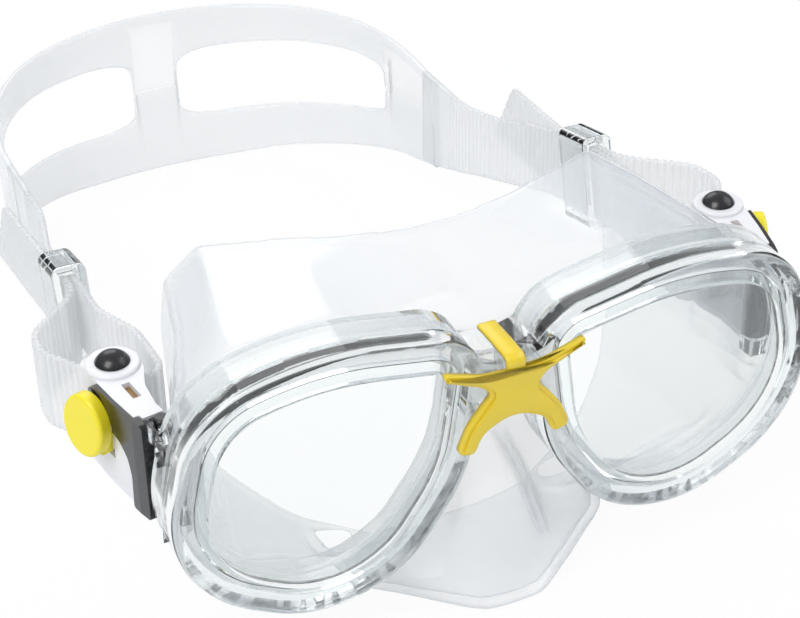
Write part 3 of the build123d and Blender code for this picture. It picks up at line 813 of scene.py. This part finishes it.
class MASK_OT_hard_pieces(bpy.types.Operator):
    """Paints the frame, the lenses, the clip and the buckles"""

    bl_idname = "mask.hard_pieces"
    bl_label = "Hard Pieces"

    def execute(self, context):
        for node, name in {
            "front_frame": "clear", "rear_frame": "clear", "lens_left": "lens", "lens_right": "lens", "bridge_clip": "clip",
        }.items():
            paint(node, name)
        for side in SIDES:
            for node, name in {
                "hinge_pin": "black", "buckle_arm": "black", "buckle_body": "white", "strap_roller": "white",
                "roller_axle": "black", "release_button": "button", "button_spring": "wire", "ratchet_pawl": "white",
                "pawl_pin": "wire", "strap_keeper": "clear",
            }.items():
                paint(node + "_" + side, name)
        return {"FINISHED"}


class MASK_OT_springs(bpy.types.Operator):
    """Makes the button springs, steel-wire copies of the solid ones; the share they would shorten by on a push is
    worked out but not used
    """

    bl_idname = "mask.springs"
    bl_label = "Button Springs"

    def execute(self, context):
        for side in SIDES:
            node = "button_spring_" + side
            push = joint("button_push_" + side)
            way = Vector(push["axis"]).normalized()
            spring = bpy.data.objects.new("coil_spring_" + side, frame["nodes"][node].data.copy())
            context.scene.collection.objects.link(spring)
            spring.data.materials.clear()
            spring.data.materials.append(material("wire"))
            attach(spring, "buckle_" + side)
            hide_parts(node)
            spots = [v.co for v in spring.data.vertices]
            seat = max(spots, key=way.dot)
            length = way.dot(seat) - min(way.dot(v) for v in spots)
            stroke = max(push["range"]) if "range" in push else STROKE
            1 - stroke / length
            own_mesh(spring)
        return {"FINISHED"}


class MASK_OT_stage(bpy.types.Operator):
    """Sets the floor, the lamps, the world and the camera"""

    bl_idname = "mask.stage"
    bl_label = "Stage"

    def execute(self, context):
        floor_finish()
        studio_world()
        lamps()
        camera()
        context.scene.view_settings.view_transform = "Standard"
        return {"FINISHED"}


def floor_finish():
    """A wide pale floor that shows as plain white behind the clear pieces."""
    mesh = bpy.data.meshes.new("floor")
    reach = 3.0
    mesh.from_pydata([(-reach, -reach, 0), (reach, -reach, 0), (reach, reach, 0), (-reach, reach, 0)], [], [(0, 1, 2, 3)])
    floor = bpy.data.objects.new("floor", mesh)
    bpy.context.scene.collection.objects.link(floor)
    pale = bpy.data.materials.new("pale_floor")
    pale.use_nodes = True
    s = Sheet(pale.node_tree)
    path = s.node("ShaderNodeLightPath")
    seen = [Wire(s, path.socket.node.outputs[k]) for k in ("Is Camera Ray", "Is Transmission Ray")]
    plain = s.node("ShaderNodeBsdfDiffuse", {}, {"Color": (0.86, 0.87, 0.88, 1)})
    white = s.node("ShaderNodeEmission", {}, {"Color": (1, 1, 1, 1), "Strength": 1.0})
    both = s.node("ShaderNodeMath", {"operation": "MAXIMUM"}, {0: seen[0], 1: seen[1]})
    shader = s.node("ShaderNodeMixShader", {}, {0: both * 0.93, 1: plain, 2: white})
    s.node("ShaderNodeOutputMaterial", {}, {"Surface": shader})
    mesh.materials.append(pale)


def studio_world():
    """White above, grey at the sides, so that the clear edges have something dark to bend."""
    world = bpy.data.worlds.new("studio")
    bpy.context.scene.world = world
    world.use_nodes = True
    s = Sheet(world.node_tree)
    path = s.node("ShaderNodeLightPath")
    seen = Wire(s, path.socket.node.outputs["Is Camera Ray"])
    through = Wire(s, path.socket.node.outputs["Is Transmission Ray"])
    way = s.node("ShaderNodeTexCoord", out=0)
    parts = s.node("ShaderNodeSeparateXYZ", {}, {0: way})
    height = Wire(s, parts.socket.node.outputs["Z"])
    tone = s.node(
        "ShaderNodeValToRGB",
        {"stops": [(0.0, (0.50, 0.52, 0.55, 1)), (0.12, (0.10, 0.12, 0.16, 1)), (0.30, (0.40, 0.42, 0.46, 1)), (0.60, (0.72, 0.73, 0.75, 1))]},
        {0: height},
    )
    white = s.node("ShaderNodeMath", {"operation": "MAXIMUM"}, {0: seen, 1: through * 0.72})
    colour = s.mix(white, tone, (1, 1, 1, 1))
    back = s.node("ShaderNodeBackground", {}, {"Color": colour, "Strength": 1.0})
    s.node("ShaderNodeOutputWorld", {}, {"Surface": back})


def lamps():
    """One broad key lamp from the left and a fill from the right."""
    for name, place, size, power in (
        ("key", (-0.7, -0.5, 1.0), 0.7, 7.5), ("fill", (0.9, -0.3, 0.7), 0.8, 3.0), ("rear", (0.1, 1.0, 0.8), 0.8, 3.0),
    ):
        data = bpy.data.lights.new(name, "AREA")
        data.size = size
        data.energy = power
        lamp = bpy.data.objects.new(name, data)
        lamp.location = place
        lamp.rotation_euler = (-Vector(place)).to_track_quat("-Z", "Y").to_euler()
        bpy.context.scene.collection.objects.link(lamp)


def camera():
    """A long lens, high on the wearer's right."""
    data = bpy.data.cameras.new("view")
    data.lens = 90.0
    data.sensor_width = 36.0
    eye = bpy.data.objects.new("view", data)
    eye.location = Vector((-0.16486, FLOOR_SHIFT - 0.36147, 0.30147))
    eye.rotation_euler = Euler([math.radians(a) for a in (59.19, 2.385, -24.315)], "XYZ")
    bpy.context.scene.collection.objects.link(eye)
    bpy.context.scene.camera = eye


class MASK_PT_panel(bpy.types.Panel):
    """Lists the pieces of the mask"""

    bl_idname = "MASK_PT_panel"
    bl_label = "Snorkel Mask"
    bl_space_type = "VIEW_3D"
    bl_region_type = "UI"
    bl_category = "Mask"

    def draw(self, context):
        for operator in OPERATORS:
            self.layout.operator(operator.bl_idname)


OPERATORS = (
    MASK_OT_hard_pieces, MASK_OT_springs, MASK_OT_bridge_clip, MASK_OT_window_floors, MASK_OT_skirt, MASK_OT_head_strap, MASK_OT_strap_tails, MASK_OT_stage,
)
CLASSES = (MaskShape, MaskColours) + OPERATORS + (MASK_PT_panel,)


def register():
    """Adds the classes and the scene's settings."""
    for made in CLASSES:
        bpy.utils.register_class(made)
    bpy.types.Scene.mask_shape = bpy.props.PointerProperty(type=MaskShape)
    bpy.types.Scene.mask_colours = bpy.props.PointerProperty(type=MaskColours)


def unregister():
    """Takes them away again."""
    del bpy.types.Scene.mask_colours
    del bpy.types.Scene.mask_shape
    for made in reversed(CLASSES):
        bpy.utils.unregister_class(made)


def main():
    """Makes every piece."""
    register()
    for operator in OPERATORS:
        group, name = operator.bl_idname.split(".")
        getattr(getattr(bpy.ops, group), name)()


if __name__ == "__main__":
    main()
